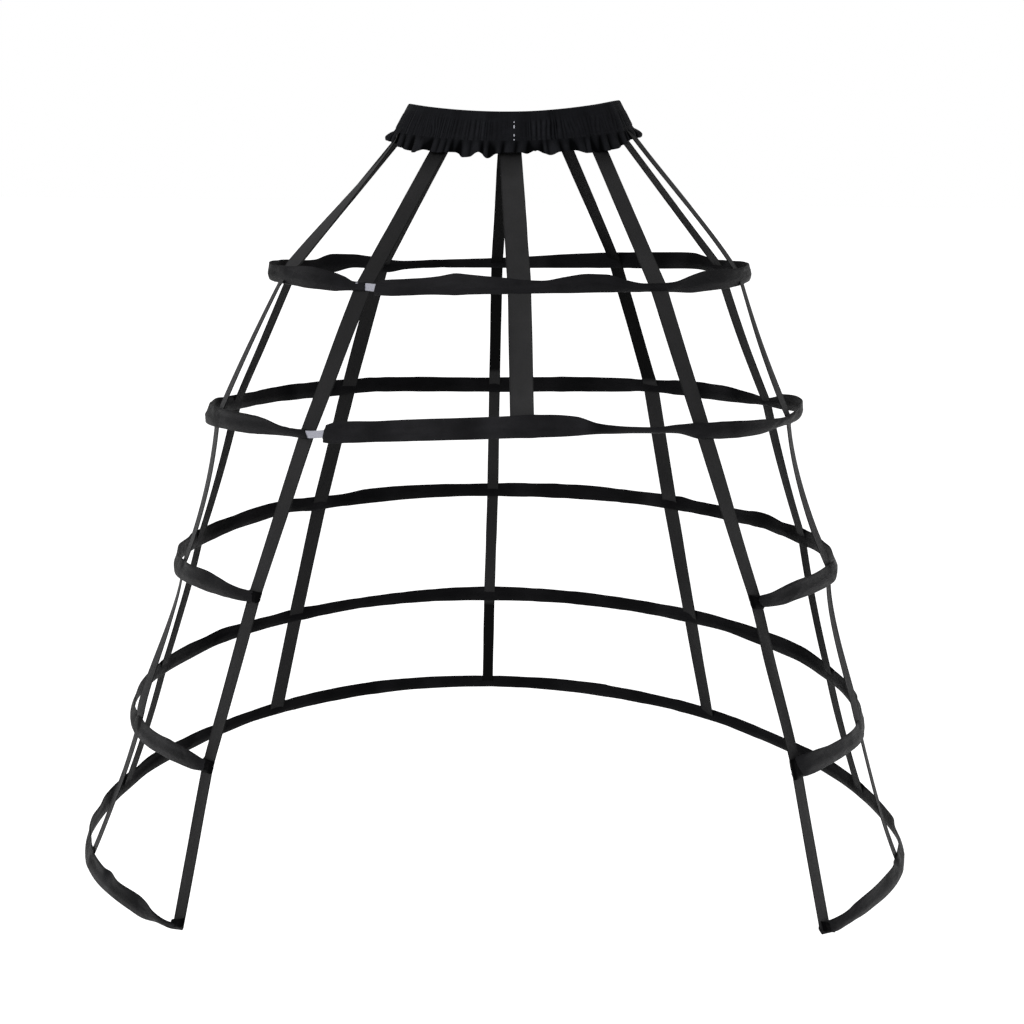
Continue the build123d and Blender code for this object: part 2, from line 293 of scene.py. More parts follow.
def wander(at, pitch, size, period=None):
    """Smooth random values of about the given size, changing over about one pitch."""
    reach = period or at.max() - at.min() + pitch
    count = max(int(reach / pitch), 3)
    jitter = 0.4 * rng.uniform(-1, 1, count)
    places = (np.arange(count) + jitter) * reach / count
    keys = np.column_stack([places, rng.normal(0, size, count)])
    return eased(keys, at - (0 if period else at.min()), reach)[:, 0]


def smooth_step(value):
    value = np.clip(value, 0, 1)
    return value * value * (3 - 2 * value)


def squared_off(value, power):
    """A sine or cosine whose curve is made boxier by a power under 1."""
    return np.sign(value) * np.abs(value) ** power


def smoothed(values, window, mode="edge"):
    """A moving mean over a window with an odd count of weights."""
    return np.convolve(np.pad(values, len(window) // 2, mode=mode), window, "valid")


def added_up(steps):
    """Running sums of the steps, from 0."""
    return np.concatenate([[0], np.cumsum(steps)])


def round_angles(count, first=0.0):
    """Evenly spaced angles round a section."""
    return np.linspace(0, whole_turn, count, endpoint=False) + first


# Places on the hoops and the waist

def lean_at(drop):
    """How far sideways the cage hangs at a depth below the waist."""
    return waist_shift - side_lean * drop


def on_hoop(hoop, angle, outwards, rise):
    """Points beside a hoop's line, with the directions outwards, along and up there."""
    angle = np.atleast_1d(np.asarray(angle, float))
    turn = np.radians(angle)
    reach = hoop.radius + eased(hoop.bulge, angle, 360)[:, 0] + outwards
    lift = hoop.arch * (1 - 2 * np.sin(turn) ** 2) + rise
    local = np.column_stack([reach * np.sin(turn), -reach * np.cos(turn), lift])
    tilt = radians(hoop.tilt)
    spin = np.array([[1, 0, 0], [0, cos(tilt), sin(tilt)], [0, -sin(tilt), cos(tilt)]])
    flat = np.zeros_like(turn)
    out = np.column_stack([np.sin(turn), -np.cos(turn), flat]) @ spin
    along = np.column_stack([np.cos(turn), np.sin(turn), flat]) @ spin
    up = np.repeat(spin[2:], len(turn), 0)
    return local @ spin + [lean_at(hoop.drop), 0, -hoop.drop], out, along, up


def casing_edges(hoop, angle):
    return eased(hoop.edges, np.atleast_1d(np.asarray(angle, float)), 360).T


def casing_middle(hoop, angle):
    return casing_edges(hoop, angle).mean(0)


def set_on_hoop(hoop, angle, side, height, lean):
    """Rings round the middle of a casing, from distances outwards and up whose top is then leaned
    outwards, with the directions along the hoop."""
    spot, out, along, up = on_hoop(hoop, angle, 0, casing_middle(hoop, angle))
    c, s = np.cos(lean), np.sin(lean)
    outwards, rise = side * c + height * s, height * c - side * s
    rings = spot[:, None] + out[:, None] * outwards[..., None] + up[:, None] * rise[..., None]
    return rings, along[:, None]


def oval_points(turn, inset):
    """The waist's outline, four tangent arcs, where its normal has the given directions."""
    end = band_half_width - band_end_radius
    front = band_front_radius - band_half_depth
    side = np.abs(np.cos(turn)) * end < np.abs(np.sin(turn)) * front
    radius = np.where(side, band_end_radius, band_front_radius) - inset
    x = np.where(side, np.sign(np.sin(turn)) * end, 0) + radius * np.sin(turn)
    y = np.where(side, 0, np.sign(np.cos(turn)) * front) - radius * np.cos(turn)
    return x, y


def waist_lift(x):
    return waist_tilt * x - band_dip * (1 - 2 * (x / band_half_width) ** 2)


# Meshes

def add_object(name, data):
    thing = bpy.data.objects.new(name, data)
    bpy.context.collection.objects.link(thing)
    return thing


def make_mesh(name, points, faces, material, uv, tone):
    """A smooth piece from points in millimetres, faces, a UV per corner and a tone per point."""
    mesh = bpy.data.meshes.new(name)
    mesh.from_pydata((np.asarray(points) * MM).tolist(), [], faces)
    mesh.update()
    mesh.shade_smooth()
    mesh.materials.append(material)
    mesh.uv_layers.new(name="UVMap").data.foreach_set("uv", np.asarray(uv, np.float32).ravel())
    shade = mesh.attributes.new("tone", "FLOAT", "POINT")
    shade.data.foreach_set("value", np.asarray(tone, np.float32))
    piece = add_object(name, mesh)
    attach(piece, "root")
    return piece


def skin(name, rings, material, closed=False, length=None, tone=1.0):
    """A tube through rings of points, its ends shut unless it joins up. Its UV is the run along it
    and round it, in centimetres."""
    centimetre = 10
    count, size = rings.shape[:2]
    if length is None:
        length = added_up(np.linalg.norm(np.diff(rings.mean(1), axis=0), axis=1))
    middle = rings[count // 2]
    around = added_up(np.linalg.norm(np.diff(middle, axis=0, append=middle[:1]), axis=1))
    last = count if closed else count - 1
    i, k = np.meshgrid(np.arange(last), np.arange(size), indexing="ij")
    i, k = i.ravel(), k.ravel()
    after, beside = (i + 1) % count, (k + 1) % size
    faces = np.column_stack([i * size + k, after * size + k, after * size + beside, i * size + beside])
    u = np.append(length, 2 * length[-1] - length[-2]) if closed else length
    uv = np.stack([np.column_stack([u[i], around[k]]), np.column_stack([u[i + 1], around[k]]),
                   np.column_stack([u[i + 1], around[k + 1]]), np.column_stack([u[i], around[k + 1]])], 1)
    points = rings.reshape(-1, 3)
    tone = np.broadcast_to(tone, (count, size)).ravel()
    faces, uv = faces.tolist(), (uv.reshape(-1, 2) / centimetre).tolist()
    if not closed:
        for ring, order in ((0, 1), (count - 1, -1)):
            corners = (ring * size + np.arange(size))[::order]
            centre = len(points)
            points = np.vstack([points, rings[ring].mean(0)])
            tone = np.append(tone, tone[ring * size])
            for a, b in zip(corners, np.roll(corners, -1)):
                faces.append([int(b), int(a), centre])
                uv += [(length[ring] / centimetre, 0)] * 3
    return make_mesh(name, points, faces, material, uv, tone)


# Materials

def new_material(name):
    material = bpy.data.materials.new(name)
    material.use_nodes = True
    tree = material.node_tree
    return material, tree, tree.nodes["Principled BSDF"]


def add_node(tree, kind, inputs=None, **settings):
    node = tree.nodes.new("ShaderNode" + kind)
    for key, value in settings.items():
        setattr(node, key, value)
    for key, value in (inputs or {}).items():
        if isinstance(value, bpy.types.NodeSocket):
            tree.links.new(value, node.inputs[key])
        else:
            node.inputs[key].default_value = value
    return node


def scaled(tree, source, scale):
    return add_node(tree, "Mapping", {"Vector": source, "Scale": scale}).outputs[0]


def noise(tree, source, scale, detail=3.0, roughness=0.6):
    inputs = {"Vector": source, "Scale": scale, "Detail": detail, "Roughness": roughness}
    return add_node(tree, "TexNoise", inputs).outputs["Fac"]


def ramp(tree, value, stops):
    node = add_node(tree, "ValToRGB", {"Fac": value})
    band = node.color_ramp
    while len(band.elements) < len(stops):
        band.elements.new(0.5)
    for element, (place, colour) in zip(band.elements, stops):
        element.position = place
        element.color = (*colour, 1)
    return node.outputs["Color"]


def maths(tree, operation, a, b=None, c=None):
    values = {i: v for i, v in enumerate((a, b, c)) if v is not None}
    return add_node(tree, "Math", values, operation=operation).outputs[0]


def bumped(tree, shader, height, strength, distance):
    bump = add_node(tree, "Bump", {"Height": height, "Strength": strength, "Distance": distance})
    tree.links.new(bump.outputs["Normal"], shader.inputs["Normal"])


def weave(tree, uv, along, across):
    """Crossed threads per centimetre along and across, as a height from 0 to 1."""
    split = add_node(tree, "SeparateXYZ", {"Vector": uv})
    warp = maths(tree, "SINE", maths(tree, "MULTIPLY", split.outputs[0], whole_turn * along))
    weft = maths(tree, "SINE", maths(tree, "MULTIPLY", split.outputs[1], whole_turn * across))
    return maths(tree, "MULTIPLY_ADD", maths(tree, "MULTIPLY", warp, weft), 0.5, 0.5)


def cloth(name, dark, light, roughness, shine, threads, patch, creases, relief=0.0012):
    """A woven cloth: mottled, worn paler on its creases, with fine threads and soft wrinkles."""
    mottle_share, fibre_share, wrinkle_share = 0.4, 0.3, 0.3
    roughness_range, thread_height, bump_strength = 0.16, 0.12, 0.6
    material, tree, shader = new_material(name)
    coords = add_node(tree, "TexCoord")
    uv, place = coords.outputs["UV"], coords.outputs["Object"]
    tone = add_node(tree, "Attribute", attribute_name="tone").outputs["Fac"]
    mottle = noise(tree, place, patch)
    fibres = noise(tree, scaled(tree, uv, (6, 30, 1)), 4.0, 2.0)
    wrinkle = noise(tree, scaled(tree, uv, creases), 1.0, 4.0, 0.55)
    blend = maths(tree, "MULTIPLY_ADD", fibres, fibre_share, maths(tree, "MULTIPLY", mottle, mottle_share))
    blend = maths(tree, "MULTIPLY_ADD", wrinkle, wrinkle_share, blend)
    colour = ramp(tree, blend, [(0.36, dark), (0.64, light)])
    shaded = add_node(tree, "VectorMath", {0: colour, "Scale": tone}, operation="SCALE")
    tree.links.new(shaded.outputs[0], shader.inputs["Base Color"])
    rough = maths(tree, "MULTIPLY_ADD", mottle, roughness_range, roughness - roughness_range / 2)
    tree.links.new(rough, shader.inputs["Roughness"])
    tree.links.new(maths(tree, "MULTIPLY", tone, shine), shader.inputs["Specular IOR Level"])
    height = maths(tree, "MULTIPLY_ADD", weave(tree, uv, *threads), thread_height, wrinkle)
    bumped(tree, shader, height, bump_strength, relief)
    return material


def plastic(name, dark, light, roughness, streak):
    """Milky plastic with faint lengthwise streaks and scuffs."""
    roughness_range, bump_strength, relief, glow_share, glow_depth = 0.2, 0.3, 0.0003, 0.15, 0.002
    material, tree, shader = new_material(name)
    coords = add_node(tree, "TexCoord")
    grain = noise(tree, scaled(tree, coords.outputs["UV"], streak), 3.0, 3.0)
    scuffs = noise(tree, coords.outputs["Object"], 900.0, 2.0)
    rough = maths(tree, "MULTIPLY_ADD", scuffs, roughness_range, roughness - roughness_range / 2)
    tree.links.new(ramp(tree, grain, [(0.35, dark), (0.65, light)]), shader.inputs["Base Color"])
    tree.links.new(rough, shader.inputs["Roughness"])
    bumped(tree, shader, grain, bump_strength, relief)
    shader.inputs["Subsurface Weight"].default_value = glow_share
    shader.inputs["Subsurface Radius"].default_value = (glow_depth,) * 3
    return material


ribbon = cloth("tape_ribbon", (0.017, 0.017, 0.0175), (0.025, 0.0245, 0.0255),
               0.6, 0.14, (22, 11), 60.0, (0.3, 0.6, 1))
casing_fabric = cloth("casing_cloth", (0.0035, 0.0035, 0.004), (0.0085, 0.0083, 0.0095),
                      0.5, 0.042, (14, 14), 60.0, (0.5, 2.4, 1), 0.0009)
band_fabric = cloth("waistband_cloth", (0.003, 0.0032, 0.0043), (0.0075, 0.0078, 0.0098),
                    0.65, 0.07, (14, 14), 120.0, (3.0, 1.5, 1))
elastic_weave = cloth("elastic", (0.012, 0.012, 0.013), (0.03, 0.03, 0.032),
                      0.75, 0.2, (8, 16), 200.0, (2.0, 2.0, 1))
# The bones' and sleeves' grey is darker than their milky white plastic: painted shade.
bone_plastic = plastic("bone_plastic", (0.27, 0.285, 0.34), (0.42, 0.44, 0.50), 0.45, (2, 30, 1))
sleeve_plastic = plastic("connector_plastic", (0.27, 0.275, 0.32), (0.43, 0.43, 0.49), 0.3, (3, 20, 1))
thread = plastic("pale_thread", (0.40, 0.41, 0.46), (0.65, 0.66, 0.72), 0.6, (20, 20, 1))


# Casings

class Form(NamedTuple):
    """How a casing lies along its hoop: its distance from the nearer end, how far it leans, its width
    across, its thickness and where the bone rests in it, from the middle of its width."""
    angle: np.ndarray
    run: np.ndarray
    from_end: np.ndarray
    lean: np.ndarray
    wide: np.ndarray
    thick: np.ndarray
    bone: np.ndarray


def rolled_over(tall):
    """How narrow a tube looks, 0 to 1, and the lean, width and thickness that make it look so tall."""
    most_lost, seen_depth, full_lean = 10, 0.7, radians(38)
    narrow = np.clip((casing_flat_height - tall) / most_lost, 0, 1)
    thick = casing_thickness + narrow
    depth = seen_depth * thick
    lean = full_lean * narrow
    wide = (tall - depth * np.sin(lean)) / np.cos(lean)
    reach = np.hypot(casing_least_width, depth)
    steep = np.arctan2(depth, casing_least_width) + np.arccos(np.minimum(tall / reach, 1))
    lean = np.where(wide < casing_least_width, steep, lean)
    return narrow, lean, np.maximum(wide, casing_least_width), thick


def casing_form(hoop):
    """The tube lies flat where it looks tall, and is rolled over where it looks narrow."""
    flat_enough, most_bone_drop = 0.15, 2.6
    mouth_width, mouth_narrowing, mouth_length = 8.6, 4, 18
    end_thickness, off_end_length, thin_length = 0.55, 14, 20
    length = radians(hoop.end - hoop.start) * hoop.radius
    angle = np.linspace(hoop.start, hoop.end, int(length / casing_ring_spacing))
    run = np.radians(angle - angle[0]) * hoop.radius
    from_end = np.minimum(run, run[-1] - run)
    low, high = casing_edges(hoop, angle)
    tall = high - low + casing_selvedge + wander(run, 13, 0.3)
    narrow, lean, wide, thick = rolled_over(tall)
    stretch = np.cumsum(np.diff(narrow < flat_enough, prepend=False))
    hand = rng.choice([-1.0, 1.0], stretch[-1] + 1)[stretch]
    roll, held = eased(hoop.rolls, angle, 360).T
    lean = lean * hand * (1 - held) - np.radians(roll) * held
    hump = np.hanning(15)
    lean = smoothed(lean, hump / hump.sum())
    wide = wide * (1 - held) + casing_full_width * held
    off_end = smooth_step(from_end / off_end_length)
    bone = -np.clip(0.39 * wide - bone_room, 0, most_bone_drop) * off_end
    if hoop.joint:
        lean *= off_end
        least = mouth_width - mouth_narrowing * smooth_step((from_end - mouth_length) / 10)
        wide = np.maximum(wide, least)
    else:
        thick *= end_thickness + (1 - end_thickness) * smooth_step(from_end / thin_length)
    return Form(angle, run, from_end, lean, wide, thick, bone)


def crease_relief(run, height, spots, outside):
    """Shallow random creases on a strip: run along it, height across it, more of them near spots."""
    spacing, window, spread, bend = 8, 30, 14, 0.012
    relief = np.zeros(height.shape)
    total = run[-1]
    for _ in range(int(total / spacing)):
        near_spot = rng.random() < 0.5
        centre = rng.choice(spots) + rng.normal(0, spread) if near_spot else rng.uniform(0, total)
        low, high = np.searchsorted(run, (centre - window, centre + window))
        if high - low < 3:
            continue
        lean = radians(rng.uniform(50, 130) if near_spot and rng.random() < 0.5 else rng.normal(0, 20))
        long, wide = rng.uniform(8, 22), rng.uniform(1.0, 2.4)
        if abs(cos(lean)) < 0.6:
            long *= 0.35
            wide *= 0.7
        deep = rng.uniform(0.12, 0.45) * rng.choice([-1, 1], p=[0.6, 0.4])
        face = rng.choice([-1, 1])
        x = run[low:high, None] - centre
        y = height[low:high] - rng.uniform(-6, 6)
        p = x * cos(lean) + y * sin(lean)
        q = -x * sin(lean) + y * cos(lean) + bend * p**2 * rng.choice([-1, 1])
        mark = deep * np.exp(-(q / wide) ** 2 - (p / long) ** 4)
        relief[low:high] += mark * (outside[None] * face > 0)
    return relief


def casing_depth(hoop, form, height, round_off, near_tape, creases):
    """Half the tube's thickness all round: full over the bone, its sleeve and where a tape passes."""
    slack_share, tape_share = 0.46, 0.95
    least_over_bone, least_elsewhere, least_over_sleeve = 1.5, 0.35, 2.2
    sleeve_room, sleeve_cover = 4.8, 20
    from_bone = height - form.bone[:, None]
    share = slack_share + (1 - slack_share) * np.exp(-(from_bone / 4.0) ** 2)
    share += (tape_share - share) * near_tape
    depth = (form.thick[:, None] / 2 * share + creases) * round_off
    least = np.where(np.abs(from_bone) < bone_room, least_over_bone, least_elsewhere)
    if hoop.joint:
        over_sleeve = (np.abs(from_bone) < sleeve_room) & (form.from_end[:, None] < sleeve_cover)
        least = np.where(over_sleeve, least_over_sleeve, least)
    return np.maximum(depth, least * round_off)


def casing_rings(hoop, form, crossings, bends):
    """Rings round the tube, thin and slack between the tapes, closed at an open hoop's ends."""
    tape_reach, closing_length, cut_length = 11, 2.2, 16
    around = round_angles(40)
    across = squared_off(np.cos(around), 0.85)
    outside = np.sin(around)
    round_off = np.sqrt(1 - np.abs(across) ** 3.2)
    height = form.wide[:, None] / 2 * across
    near_tape = np.exp(-(np.abs(form.run[:, None] - crossings).min(1) / tape_reach) ** 4)[:, None]
    creases = crease_relief(form.run, height, np.concatenate([crossings, bends]), outside)
    depth = casing_depth(hoop, form, height, round_off, near_tape, creases)
    slack = wander(form.run, 32, 0.6)[:, None] * (1 - near_tape)
    sway = slack * np.clip((height - form.bone[:, None]) / 8, 0, 1.2) ** 2
    side = depth * np.sign(outside) + sway
    if not hoop.joint:
        closing = np.clip(form.from_end[:, None] / closing_length, 0, 1)
        closing = np.sqrt(np.clip(1 - (1 - closing) ** 2, 0.02, 1))
        side, height = side * closing, height * closing
    rings, along = set_on_hoop(hoop, form.angle, side, height, form.lean[:, None])
    cut = (hoop.cuts[0] * (1 - smooth_step(form.run / cut_length))
           + hoop.cuts[1] * (1 - smooth_step((form.run[-1] - form.run) / cut_length)))
    sideways = cut[:, None] * -height
    return rings + along * sideways[..., None]


def casing_tone(form, count):
    """The tone round each ring: painted shade, a little darker inside the cage and at the sides, and a
    painted sheen, paler at the front and in random patches.
    """
    inner_shade_tone, front_sheen_gain, side_shade_loss = 0.76, 0.4, 0.5
    outside = np.sin(round_angles(count))
    tone = inner_shade_tone + (1 - inner_shade_tone) * smooth_step(outside * 3 + 0.5)
    turn = np.radians(form.angle)
    at_front = np.clip(np.cos(turn), 0, 1)
    at_side = np.sin(turn) ** 8
    sheen = 1 + front_sheen_gain * at_front - side_shade_loss * at_side + wander(form.run, 28, 0.2)
    return tone[None] * np.clip(sheen, 0.35, 1.8)[:, None]


def turned_in(rings, depth):
    """The tube's mouth: the cloth's edge and its inner face, going back inside by so many rings."""
    inner = rings[:depth][::-1].copy()
    middle = inner.mean(1, keepdims=True)
    reach = inner - middle
    far = np.linalg.norm(reach, axis=2, keepdims=True)
    return middle + reach * (1 - casing_cloth / np.maximum(far, 1.5))


def build_casing(number, hoop, form):
    name = f"hoop_casing_{number + 1}"
    angles = np.array([t.angles[number] for t in tapes.values() if number < len(t.angles)])
    crossings = np.radians((angles - hoop.start) % 360) * hoop.radius
    bends = np.radians(crease_angles - hoop.start) * hoop.radius
    rings = casing_rings(hoop, form, crossings, bends)
    tone = casing_tone(form, rings.shape[1])
    if hoop.joint:
        # The turned-in inner face of each mouth is painted dark: painted shade inside the tube.
        depth, mouth_shade_tone = 6, 0.2
        mouth_shade = np.full_like(tone[:depth], mouth_shade_tone)
        rings = np.concatenate([turned_in(rings, depth), rings, turned_in(rings[::-1], depth)[::-1]])
        tone = np.concatenate([mouth_shade, tone, mouth_shade])
    piece = skin(f"{name}_cloth", rings, casing_fabric, tone=tone)
    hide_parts(name)


# Bones and their sleeves

def strip_rings(hoop, form, angle, near, far, tall, corner):
    """Rings of a flat strip with rounded corners that lies where the bone does in its casing, and
    nearer the casing's middle where that leans."""
    count, full_lean = 16, radians(30)
    lean = np.interp(angle, form.angle, form.lean)[:, None]
    bone = np.interp(angle, form.angle, form.bone)[:, None]
    around = round_angles(count, pi / count)
    middle = (near + far) / 2
    side = middle + np.sign(np.cos(around)) * ((far - near) / 2 - corner) + corner * np.cos(around)
    side = side - middle * np.clip(np.abs(lean) / full_lean, 0, 1)
    height = bone + np.sign(np.sin(around)) * (tall / 2 - corner) + corner * np.sin(around)
    return set_on_hoop(hoop, angle, side, height, lean)[0]


def build_bone(number, hoop, form):
    """The bone: it meets itself in its sleeve, or ends a little inside an open hoop's casing."""
    name = f"hoop_bone_{number + 1}"
    half_gap = np.degrees(0.5 / hoop.radius)
    inset = np.degrees(3.0 / hoop.radius)
    start, end = hoop.start + inset, hoop.end - inset
    if hoop.joint:
        start, end = hoop.joint + half_gap, hoop.joint - half_gap + 360
    angle = np.linspace(start, end, int(radians(end - start) * hoop.radius / 4))
    rings = strip_rings(hoop, form, angle, 0, bone_thickness, bone_height, bone_corner)
    piece = skin(f"{name}_strip", rings, bone_plastic)
    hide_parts(name)


def build_sleeve(number, hoop, form):
    name = f"bone_connector_{number + 1}"
    half = np.degrees(sleeve_length / 2 / hoop.radius)
    angle = np.linspace(hoop.joint - half, hoop.joint + half, 40)
    rings = strip_rings(hoop, form, angle, -sleeve_skin, bone_thickness + sleeve_skin,
                        bone_height + 2 * sleeve_skin, sleeve_corner)
    piece = skin(f"{name}_sleeve", rings, sleeve_plastic)
    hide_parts(name)


# Tapes

def waist_place(turn, level, inset):
    """A place behind the band or its ruffle, with the direction along the seam."""
    x, y = oval_points(np.array([turn]), inset)
    place = np.array([x[0] + waist_shift, y[0], waist_lift(x[0]) + level])
    return place, np.array([cos(turn), sin(turn), 0])


def tape_knots(tape):
    """Where the tape is held: the seam, behind the ruffle and at each hoop, with the directions across."""
    turn = radians(tape.waist)
    at_side = smooth_step((abs(sin(turn)) - 0.6) / 0.2)
    seam, along = waist_place(turn, tape_top - band_height, tape_inset)
    spot, _ = waist_place(turn, tape_turn + side_tape_rise * at_side - band_height,
                          tape_turn_inset - side_tape_outset * at_side)
    knots, across = [spot], [along]
    for hoop, angle in zip(hoops, tape.angles):
        place, _, side, _ = on_hoop(hoop, angle, tape_offset, casing_middle(hoop, angle))
        knots.append(place[0])
        across.append(side[0])
    return seam, knots, across


def bowed(start, end, bows, share):
    """Points at each share of the way from one knot to the next, bowed in or out."""
    outwards = (start + end) * [1, 1, 0]
    outwards /= max(np.linalg.norm(outwards), 1)
    points = start + (end - start) * share
    for reach, peak in bows:
        skewed = share ** (log(0.5) / log(peak))
        points += outwards * reach * 4 * skewed * (1 - skewed)
    return points


def tape_path(tape):
    """Points down the tape's middle, the direction across it and how far it is turned."""
    spacing, behind_ruffle = 5, 3
    seam, knots, across = tape_knots(tape)
    share = np.linspace(0, 1, behind_ruffle + 1)[:-1, None]
    points = [bowed(seam, knots[0], [], share)]
    sides = [np.repeat(across[0][None], behind_ruffle, 0)]
    turns = [np.full(behind_ruffle, tape.turns[0][0])]
    last = len(knots) - 2
    for n in range(last + 1):
        steps = int(np.linalg.norm(knots[n + 1] - knots[n]) / spacing)
        share = np.linspace(0, 1, steps, endpoint=n == last)[:, None]
        points.append(bowed(knots[n], knots[n + 1], tape.bows[n], share))
        ease = smooth_step(share)
        sides.append(across[n] * (1 - ease) + across[n + 1] * ease)
        start, end = tape.turns[n]
        turns.append((start * (1 - ease) + end * ease)[:, 0])
    turn = smoothed(np.concatenate(turns), np.full(5, 0.2))
    return np.vstack(points), np.vstack(sides), np.radians(turn)


def tape_frame(tape):
    """The tape's run, its middle points and the directions across it, out of its face and down it."""
    points, side, turn = tape_path(tape)
    run = added_up(np.linalg.norm(np.diff(points, axis=0), axis=1))
    tangent = np.gradient(points, run, axis=0)
    tangent /= np.linalg.norm(tangent, axis=1, keepdims=True)
    side -= tangent * (side * tangent).sum(1, keepdims=True)
    side /= np.linalg.norm(side, axis=1, keepdims=True)
    face = np.cross(side, tangent)
    turn = turn[:, None] * (1 if tape.waist > 0 else -1)
    side, face = side * np.cos(turn) + face * np.sin(turn), face * np.cos(turn) - side * np.sin(turn)
    return run, points, side, face, tangent


def span_tones(tape, points):
    """The painted light and shade of the outer and inner face at each point, changing within the casings.
    """
    drops = [hoop.drop for hoop in hoops[:len(tape.angles)]]
    span = np.clip(np.searchsorted(drops, -points[:, 2]), 0, len(drops) - 1)
    return np.array(tape.outer_light_shade_tone)[span], np.array(tape.inner_shade_tone)[span]


def build_tape(name, tape):
    """A ribbon with corded edges, a little curled across, in the ruffle's shade at its top."""
    selvedge_from, selvedge_swell, edge_swell, selvedge_tone = 0.92, 0.42, 0.12, 0.6
    shade_tone, shade_start, shade_length = 0.6, 12, 30
    run, points, side, face, _ = tape_frame(tape)
    half = tape.width / 2 + tape_selvedge + wander(run, 35, 0.12)
    spread = np.array([1, 0.985, 0.94, 0.9, 0.6, 0.2, -0.2, -0.6, -0.9, -0.94, -0.985, -1])
    swell = np.where(np.abs(spread) > selvedge_from, selvedge_swell, tape_thickness / 2)
    swell = np.where(np.abs(spread) == 1, edge_swell, swell)
    across = np.concatenate([spread, spread[::-1]])
    lift = np.concatenate([swell, -swell[::-1]])
    curl = 0.35 * wander(run, 60, 1.0)
    bend = curl[:, None] * (across ** 2 - 0.4)
    rings = (points[:, None] + side[:, None] * (half[:, None] * across)[..., None]
             + face[:, None] * (lift + bend)[..., None])
    outer, inner = span_tones(tape, points)
    tone = np.where(lift < 0, outer[:, None], inner[:, None])
    tone = tone * np.where(np.abs(across) > selvedge_from, selvedge_tone, 1)
    below_seam = -points[:, 2] - band_height
    shaded = shade_tone + (1 - shade_tone) * smooth_step((below_seam - shade_start) / shade_length)
    # The slow random change of tone along the tape is painted sheen.
    tone *= (shaded * (1 + wander(run, 60, 0.09)))[:, None]
    piece = skin(f"{name}_ribbon", rings, ribbon, tone=tone)
    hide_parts(name)


def build_wrap(number, side_name, low, high, slant, shift):
    """The end of an open hoop's casing, folded round the front tape and stitched down."""
    name = f"hoop_casing_{number + 1}"
    outer_swell, edge_drop, inner_swell, cloth_edge = 2.5, 0.9, 1.3, 0.6
    # The fold's dark tone is painted shade.
    row_spacing, wrap_shade_tone = 1.2, 0.3
    tape = tapes[f"tape_front_{side_name}"]
    _, points, sides, faces, tangents = tape_frame(tape)
    knot = on_hoop(hoops[number], tape.angles[number], tape_offset, 0)[0][0]
    k = np.argmin(np.linalg.norm(points - knot, axis=1))
    side, face, tangent = sides[k], faces[k], tangents[k]
    knot = knot + side * shift * (1 if side_name == "right" else -1)
    around = round_angles(36)
    across = squared_off(np.cos(around), 0.4)
    share = np.linspace(-1, 1, 9)
    middle, reach = (low + high) / 2, (high - low) / 2
    rows = [(middle + reach * s, outer_swell - edge_drop * s ** 6) for s in share]
    rows += [(middle + (reach - cloth_edge) * s, inner_swell) for s in share[::-1]]
    rings = []
    for level, swell in rows:
        uneven = 1 + 0.08 * wander(around, 1.0, 1.0, whole_turn)
        base = (side * (across * (tape_width / 2 + 0.15 * swell))[:, None]
                + face * (np.sin(around) * swell * uneven)[:, None])
        target = level + slant * across * tape_width / 2
        slide = (target - base[:, 2]) / tangent[2]
        rings.append(knot + base + tangent * slide[:, None])
    piece = skin(f"{name}_end_{side_name}", np.array(rings), casing_fabric, closed=True,
                 length=np.arange(len(rings)) * row_spacing, tone=wrap_shade_tone)
    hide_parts(name)


# Waistband

def fold_phase(run, pitch, total):
    """A rising phase along the seam, a whole turn per fold, with uneven folds."""
    count = round(total / pitch)
    widths = rng.uniform(0.35, 1.65, count)
    edges = added_up(widths) * total / widths.sum()
    return np.interp(run % total, edges, np.arange(count + 1) * whole_turn)


def seam_run(turn):
    """The place across and the distance along the seam in each direction, and all the way round."""
    x, y = oval_points(turn, 0)
    run = added_up(np.hypot(np.diff(x), np.diff(y)))
    return x, run, run[-1] + np.hypot(x[0] - x[-1], y[0] - y[-1])


def band_rows(run, total):
    """The shirred cloth's outer rows from the top edge to the seam, and its inner rows back up: how
    far down and out each stands, its drop below the seam and its tone."""
    plain_top, plain_share, inner_share, edge_radius = 6, 0.14, 0.6, 1.2
    gather = fold_phase(run, gather_pitch, total)
    uneven = wander(run, 9, 0.25, total)
    drift = wander(run, 14, 1.6, total)
    fuller = np.clip(0.75 + wander(run, 17, 0.4, total), 0.15, 1.5)

    def row(down, inside):
        fold = np.abs(np.sin((gather + drift * np.sin(down / 5)) / 2)) ** 0.8 - 0.55
        stitched = (0.5 * np.exp(-((down - stitch_rows[0]) / 0.8) ** 2)
                    + np.exp(-((down - stitch_rows[1]) / 1.0) ** 2))
        body = plain_share + (1 - plain_share) * smooth_step((down - plain_top) / 5)
        out = (fold * body * fuller + uneven * 0.5) * (1 - 0.6 * stitched) - 0.5 * stitched
        from_edge = 1 - min(down, edge_radius) / edge_radius
        rolled = (1 - np.sqrt(1 - from_edge ** 2)) * edge_radius
        out = -inner_share * out - band_thickness + rolled if inside else out - rolled
        return down, out, 0, 1

    outer = [0, 0.3, 0.8, *np.arange(1.6, band_height, 1.1), band_height]
    inner = [band_height, *np.arange(band_height - 2, 1.5, -2.0), 1.0, 0.3]
    return [row(down, False) for down in outer], [row(down, True) for down in inner]


